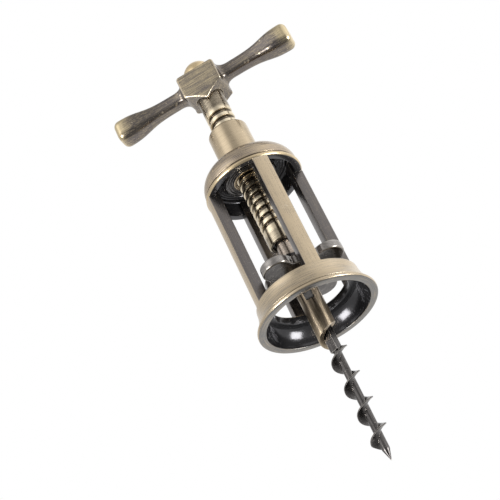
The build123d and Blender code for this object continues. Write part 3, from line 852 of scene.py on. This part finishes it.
class OPENER_OT_ring(bpy.types.Operator):
    """Turns the upper ring with its bead, groove, domed roof and ridged, hollow underside"""

    bl_idname = "opener.ring"
    bl_label = "Upper ring"

    def execute(self, context):
        sizes = context.scene.opener_sizes
        bead, base, top = RING_HIGH.x, RING_LOW.z, RING_HIGH.z
        shoulder, bead_top = bead - sizes.bead_swell, base + sizes.bead_height
        groove_radius = shoulder - sizes.ring_groove_depth
        shoulder_base = bead_top + sizes.ring_groove_height
        crown = shoulder - sizes.crown_width
        crown_x = (shoulder + crown) / 2 + sizes.crown_swell
        crown_z = (shoulder_base + top) / 2 + sizes.crown_rise
        bore, skirt = sizes.spigot_radius + sizes.fit_gap, sizes.skirt_radius
        roof = top - sizes.roof_thickness
        roof_edge, skirt_top = skirt - sizes.roof_round, roof - sizes.roof_round
        outline = [(skirt, base), (shoulder, base)]
        outline += arc((shoulder, base), (bead, (base + bead_top) / 2), (shoulder, bead_top))
        outline += [(groove_radius, bead_top), (groove_radius, shoulder_base), (shoulder, shoulder_base)]
        outline += arc((shoulder, shoulder_base), (crown_x, crown_z), (crown, top))
        outline += [(bore, top), (bore, roof)]
        ridges_start = LOCK_HIGH.x + sizes.ridge_margin
        pitch = (roof_edge - ridges_start) / RIDGES
        for number in range(RIDGES):
            foot = ridges_start + pitch * number
            outline += [(foot, roof)]
            outline += swell((foot, roof), (foot + sizes.ridge_width, roof), -sizes.ridge_height)
        outline += [(roof_edge, roof)]
        outline += corner((roof_edge, roof), (skirt, skirt_top), (roof_edge, skirt_top))
        turn_piece("upper_ring", outline, sizes.edge_round, antique("ring_brass"))
        return {"FINISHED"}


class OPENER_OT_posts(bpy.types.Operator):
    """Shapes one square post with a crowned outer face and a tongue, and copies it round the cage"""

    bl_idname = "opener.posts"
    bl_label = "Posts"

    def execute(self, context):
        sizes = context.scene.opener_sizes
        inner, outer, half = POST_LOW.x, POST_HIGH.x, POST_HIGH.y
        base, shoulder, top = BELL_HIGH.z, RING_LOW.z, POST_HIGH.z
        edge, flank = sizes.post_edge, half - sizes.post_edge
        crown = sqrt(outer ** 2 - flank ** 2)
        outline = [(inner, flank)]
        outline += corner((inner, flank), (inner + edge, half), (inner + edge, flank))
        outline += [(crown - edge, half)]
        outline += corner((crown - edge, half), (crown, flank), (crown - edge, flank))
        outline += arc((crown, flank), (outer, 0), (crown, -flank))
        outline += corner((crown, -flank), (crown - edge, -half), (crown - edge, -flank))
        outline += [(inner + edge, -half)]
        outline += corner((inner + edge, -half), (inner, -flank), (inner + edge, -flank))
        first = draw_outline("post_right", outline, rise=(0, 1, 0))
        bpy.ops.mesh.remove_doubles(threshold=MERGE_DISTANCE)
        bpy.ops.mesh.edge_face_add()
        bpy.ops.transform.translate(value=(0, 0, base))
        bpy.ops.mesh.extrude_region_move(TRANSFORM_OT_translate={"value": (0, 0, shoulder - base)})
        bpy.ops.mesh.inset(thickness=edge)
        tongue_share = (sizes.skirt_radius - sizes.tongue_gap - inner - edge) / (outer - inner - 2 * edge)
        bpy.ops.transform.resize(value=(tongue_share, 1, 1), center_override=(inner + edge, 0, shoulder))
        bpy.ops.mesh.extrude_region_move(TRANSFORM_OT_translate={"value": (0, 0, top - shoulder)})
        close_mesh()
        shade(first)
        posts = {"post_right": first}
        for quarter_turns, node in enumerate(("post_back", "post_left", "post_front"), 1):
            posts[node] = duplicated(first, node)
            posts[node].rotation_euler.z = quarter_turns * pi / 2
            bpy.ops.object.transform_apply(location=True, rotation=True, scale=True)
        finish = antique("post_brass")
        for node, piece in posts.items():
            fit(piece, node, finish)
        return {"FINISHED"}


class OPENER_OT_collar(bpy.types.Operator):
    """Turns the collar, and the grooved lock ring under the roof"""

    bl_idname = "opener.collar"
    bl_label = "Collar and lock ring"

    def execute(self, context):
        sizes = context.scene.opener_sizes
        radius, base, top, roof = COLLAR_HIGH.x, COLLAR_LOW.z, COLLAR_HIGH.z, RING_HIGH.z
        inner, shoulder = radius - sizes.collar_round, top - sizes.collar_round
        outline = [(sizes.collar_bore, top), (sizes.collar_bore, base), (sizes.spigot_radius, base)]
        outline += [(sizes.spigot_radius, roof), (radius, roof), (radius, shoulder)]
        outline += corner((radius, shoulder), (inner, top), (inner, shoulder), COLLAR_CORNER_STEPS)
        turn_piece("top_collar", outline, sizes.edge_round, antique("collar_brass"))

        bore, rim, face = sizes.spigot_radius + sizes.fit_gap, LOCK_HIGH.x, LOCK_LOW.z
        face_edge = rim - sizes.lock_chamfer
        reach, flank = sizes.lock_groove_reach, sizes.lock_groove_flank
        floor = face + sizes.lock_groove_depth
        outline = [(bore, face)]
        for number in range(LOCK_GROOVES):
            middle = bore + (face_edge - bore) * (number + 0.5) / LOCK_GROOVES
            outline += [(middle - reach, face), (middle - reach + flank, floor)]
            outline += [(middle + reach, floor), (middle + reach + flank, face)]
        outline += [(face_edge, face), (rim, face + sizes.lock_chamfer)]
        outline += [(rim, LOCK_HIGH.z), (bore, LOCK_HIGH.z)]
        turn_piece("collar_lock_ring", outline, sizes.lock_edge, antique("lock_bronze"))
        return {"FINISHED"}


class OPENER_OT_spindle(bpy.types.Operator):
    """Finishes the lifting screw with rounded threads"""

    bl_idname = "opener.spindle"
    bl_label = "Lifting screw"

    def execute(self, context):
        edge = context.scene.opener_sizes.thread_round
        soften_copy("spindle", edge, antique("screw_brass"), THREAD_BEVEL_SEGMENTS)
        return {"FINISHED"}


def ramp(value, start, end):
    """A straight rise from 0 at start to 1 at end, level beyond them."""
    return min(max((value - start) / (end - start), 0), 1)


def arm_root_share(place):
    """1 where the arms grow out of the hub, fading along them, and 0 at the hub's front and back."""
    hub_side, arm_fade, hub_face = (6.6, 7.4), (13.5, 10.0), (6.0, 5.0)
    along, across = bar_places(place.x / MM, place.y / MM)
    return ramp(abs(along), *hub_side) * ramp(abs(along), *arm_fade) * ramp(abs(across), *hub_face)


class OPENER_OT_handle(bpy.types.Operator):
    """Casts the T-handle with round edges, and melts its arms into the hub"""

    bl_idname = "opener.handle"
    bl_label = "T-handle"

    def execute(self, context):
        piece = copied("t_handle")
        cast(piece, context.scene.opener_sizes.handle_grain, HANDLE_ROUNDS)
        melt(piece, arm_root_share, ARM_ROOT_ROUNDS)
        fit(piece, "t_handle", antique("handle_bronze"))
        return {"FINISHED"}


class OPENER_OT_dome(bpy.types.Operator):
    """Turns the dome nut"""

    bl_idname = "opener.dome"
    bl_label = "Dome nut"

    def execute(self, context):
        sizes = context.scene.opener_sizes
        radius, base = DOME_HIGH.x, DOME_LOW.z
        stud, stud_top = sizes.stud_radius, base + sizes.stud_depth
        middle = (radius * cos(pi / 4), base + radius * sin(pi / 4))
        outline = [(stud, base), (radius, base)]
        outline += arc((radius, base), middle, (AXIS_GAP, base + radius), DOME_ARC_STEPS)
        outline += [(AXIS_GAP, stud_top), (stud, stud_top)]
        turn_piece("dome_nut", outline, sizes.edge_round, antique("dome_brass"), DOME_SPIN_STEPS)
        return {"FINISHED"}


class OPENER_OT_swivel(bpy.types.Operator):
    """Finishes the swivel's shaft, bush and washer"""

    bl_idname = "opener.swivel"
    bl_label = "Swivel"

    def execute(self, context):
        sizes = context.scene.opener_sizes
        steel, bronze = antique("shaft_steel"), antique("dark_bronze")
        for node, finish in (("swivel_shaft", steel), ("swivel_bush", bronze), ("thrust_washer", steel)):
            soften_copy(node, sizes.swivel_edge, finish)
        return {"FINISHED"}


class OPENER_OT_carriage(bpy.types.Operator):
    """Casts the guide star, and finishes its nut, the sleeve and its key"""

    bl_idname = "opener.carriage"
    bl_label = "Carriage"

    def execute(self, context):
        sizes = context.scene.opener_sizes
        piece = copied("guide_star")
        cast(piece, sizes.star_grain, STAR_ROUNDS)
        fit(piece, "guide_star", antique("star_bronze"))
        for node, finish in (
            ("guide_nut", antique("dark_bronze")),
            ("worm_sleeve", antique("sleeve_brass")),
            ("sleeve_key", antique("lock_bronze")),
        ):
            soften_copy(node, sizes.carriage_edge, finish)
        return {"FINISHED"}


class OPENER_OT_worm(bpy.types.Operator):
    """Finishes the worm"""

    bl_idname = "opener.worm"
    bl_label = "Worm"

    def execute(self, context):
        piece = copied("worm")
        shade(piece)
        fit(piece, "worm", antique("worm_steel"))
        return {"FINISHED"}


# Stage

# The picture's side, the focal length and where the camera's aim shows, in pixels
PICTURE_SIDE = 500
FOCAL = 1599.731
AIM_PIXEL = (275.369, 228.044)

# Soft lights: azimuth, elevation and half widths of the bright part and of the whole, in degrees, and
# a level, which is below zero where light is taken away
SOFT_LIGHTS = (
    ((-177, 30, 12, 50), 0.25),
    ((-152, 30, 8, 30), 0.80),
    ((-46, 30, 12, 45), 0.50),
    ((15, 28, 20, 60), 0.45),
    ((71, -10, 20, 85), 0.40),
    ((-108, -50, 25, 70), -0.34),
)

# The pale backdrop that metal sees behind the opener, given as a soft light is
BACKDROP = (71, -10, 20, 60)

# Azimuth and elevation of the lamps, in degrees
LAMPS = {"LeftLamp": (-160, -18), "RightLamp": (-44, -20)}

WHITE = (1, 1, 1, 1)
FLOOR_ROUGHNESS = 0.8


def studio_direction(azimuth, elevation):
    """A unit vector towards a place in the studio, given in degrees."""
    a, e = radians(azimuth), radians(elevation)
    return Vector((cos(a) * cos(e), sin(a) * cos(e), sin(e)))


def aim_camera(scene):
    """Adds the camera at the photograph's viewing angle."""
    stage = scene.opener_stage
    a, e, roll = stage.azimuth, stage.elevation, stage.roll
    back = Vector((sin(a) * cos(e), -cos(a) * cos(e), sin(e)))
    level = Vector((cos(a), sin(a), 0))
    upright = back.cross(level)
    side = level * cos(roll) + upright * sin(roll)
    up = upright * cos(roll) - level * sin(roll)
    shift_x, shift_y = ((pixel - PICTURE_SIDE / 2) / FOCAL * stage.distance for pixel in AIM_PIXEL)
    aim = Vector((0, 0, stage.aim_height))
    turn = Matrix((side, up, back)).transposed().to_4x4()
    turn.translation = aim - side * shift_x + up * shift_y + back * stage.distance
    deselect_all()
    bpy.ops.object.camera_add()
    camera = bpy.context.object
    camera.name = "Camera"
    camera.data.lens = FOCAL * camera.data.sensor_width / PICTURE_SIDE
    camera.matrix_world = turn
    scene.camera = camera


def light_studio(scene):
    """Makes a world of soft light that the camera sees as white, and metal sees so on the far side."""
    world = bpy.data.worlds.new("Studio")
    world.use_nodes = True
    scene.world = world
    finish = Finish(world.node_tree)
    direction = finish.node("TexCoord", out="Generated")

    def lobe(azimuth, elevation, inner, outer):
        nearness = finish.dot(direction, studio_direction(azimuth, elevation))
        return finish.step(nearness, cos(radians(outer)), cos(radians(inner)))

    def ray(kind):
        return finish.node("LightPath", out=f"Is {kind} Ray")

    light = scene.opener_stage.room_light
    for place, level in SOFT_LIGHTS:
        light = light + lobe(*place) * level
    seen = ray("Camera") + ray("Transmission") + ray("Glossy") * lobe(*BACKDROP)
    seen = finish.step(seen, 0.0, 1.0)
    strength = light * (1 - seen) + seen
    background = finish.node("Background", sockets={"Color": WHITE, "Strength": strength})
    finish.node("OutputWorld", sockets={"Surface": background})


def hang_lamps(stage):
    """Adds the square lamps, turned towards the opener's middle."""
    middle = (Vector(CAD_BOX[0]) + Vector(CAD_BOX[1])) / 2
    for name, (azimuth, elevation) in LAMPS.items():
        offset = studio_direction(azimuth, elevation) * stage.lamp_distance
        deselect_all()
        bpy.ops.object.light_add(type="AREA", location=middle + offset)
        lamp = bpy.context.object
        lamp.name = name
        lamp.data.shape = "SQUARE"
        lamp.data.size = stage.lamp_size
        lamp.data.energy = stage.lamp_power
        lamp.visible_camera = False
        lamp.rotation_euler = offset.to_track_quat("Z", "Y").to_euler()


def lay_floor(stage, pale_colour):
    """Adds the floor, which is there for the camera alone, and clear when seen from below."""
    deselect_all()
    height = CAD_BOX[0][2] - stage.floor_gap
    bpy.ops.mesh.primitive_plane_add(size=stage.floor_size, location=(0, 0, height))
    floor = name_active("Floor")
    bpy.ops.object.transform_apply(location=True, rotation=True, scale=True)
    material = bpy.data.materials.new("floor_white")
    material.use_nodes = True
    finish = Finish(material.node_tree)
    under = finish.node("NewGeometry", out="Backfacing")
    seen = finish.node("LightPath", out="Is Camera Ray")
    pale = finish.node(
        "BsdfPrincipled", sockets={"Base Color": (*pale_colour, 1), "Roughness": FLOOR_ROUGHNESS})
    clear = finish.node("BsdfTransparent")
    shown = finish.node("MixShader", sockets={0: seen * (1 - under), 1: clear, 2: pale})
    finish.node("OutputMaterial", sockets={"Surface": shown})
    floor.data.materials.append(material)


class OPENER_OT_stage(bpy.types.Operator):
    """Sets the camera, the studio light, the lamps and the floor"""

    bl_idname = "opener.stage"
    bl_label = "Stage"

    def execute(self, context):
        scene = context.scene
        scene.view_settings.view_transform = "Standard"
        aim_camera(scene)
        light_studio(scene)
        hang_lamps(scene.opener_stage)
        lay_floor(scene.opener_stage, scene.opener_colours.floor)
        return {"FINISHED"}


class OPENER_PT_panel(bpy.types.Panel):
    """Lists the opener's pieces and settings"""

    bl_idname = "OPENER_PT_panel"
    bl_label = "Wine opener"
    bl_space_type = "VIEW_3D"
    bl_region_type = "UI"
    bl_category = "Opener"

    def draw(self, context):
        for operator in OPERATORS:
            self.layout.operator(operator.bl_idname)
        for name, group in SETTINGS.items():
            for key in group.__annotations__:
                self.layout.prop(getattr(context.scene, name), key)


SETTINGS = {
    "opener_sizes": OpenerSizes,
    "opener_colours": OpenerColours,
    "opener_stage": StageSettings,
}
OPERATORS = (
    OPENER_OT_bell,
    OPENER_OT_ring,
    OPENER_OT_posts,
    OPENER_OT_collar,
    OPENER_OT_spindle,
    OPENER_OT_handle,
    OPENER_OT_dome,
    OPENER_OT_swivel,
    OPENER_OT_carriage,
    OPENER_OT_worm,
    OPENER_OT_stage,
)
CLASSES = (*SETTINGS.values(), *OPERATORS, OPENER_PT_panel)


def register():
    for item in CLASSES:
        bpy.utils.register_class(item)
    for name, group in SETTINGS.items():
        setattr(bpy.types.Scene, name, bpy.props.PointerProperty(type=group))


def unregister():
    for name in SETTINGS:
        delattr(bpy.types.Scene, name)
    for item in reversed(CLASSES):
        bpy.utils.unregister_class(item)


def main():
    register()
    for operator in OPERATORS:
        group, name = operator.bl_idname.split(".")
        getattr(getattr(bpy.ops, group), name)()


if __name__ == "__main__":
    main()
